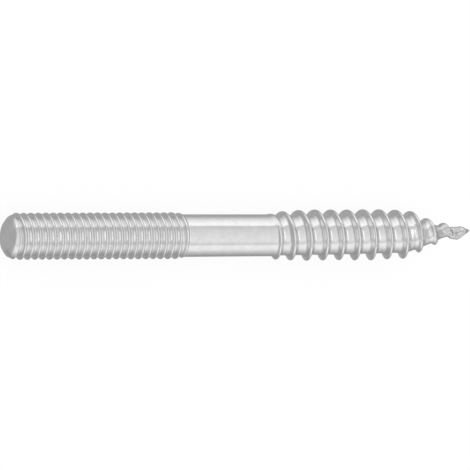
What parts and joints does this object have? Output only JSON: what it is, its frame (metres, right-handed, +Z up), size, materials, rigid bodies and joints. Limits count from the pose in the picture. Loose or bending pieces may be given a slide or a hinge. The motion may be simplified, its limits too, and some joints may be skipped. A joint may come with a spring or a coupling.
{
  "type": "hanger bolt",
  "caption": "Headless double-ended bolt: a machine-threaded stud, a plain shank, and a coarse wood thread with a gimlet point, for hanging a load from timber.",
  "frame": {"origin": "under the middle of the bolt's length, on the surface that it lies on", "axes": "+X along the bolt from the stud's end to the point, +Z up from the surface"},
  "size_m": [0.0636, 0.0064, 0.0065],
  "materials": {
    "zinc_plated_steel": "bright zinc plating on rolled steel"
  },
  "bodies": {
    "root": {"hanger_bolt": "zinc_plated_steel"}
  },
  "joints": []
}
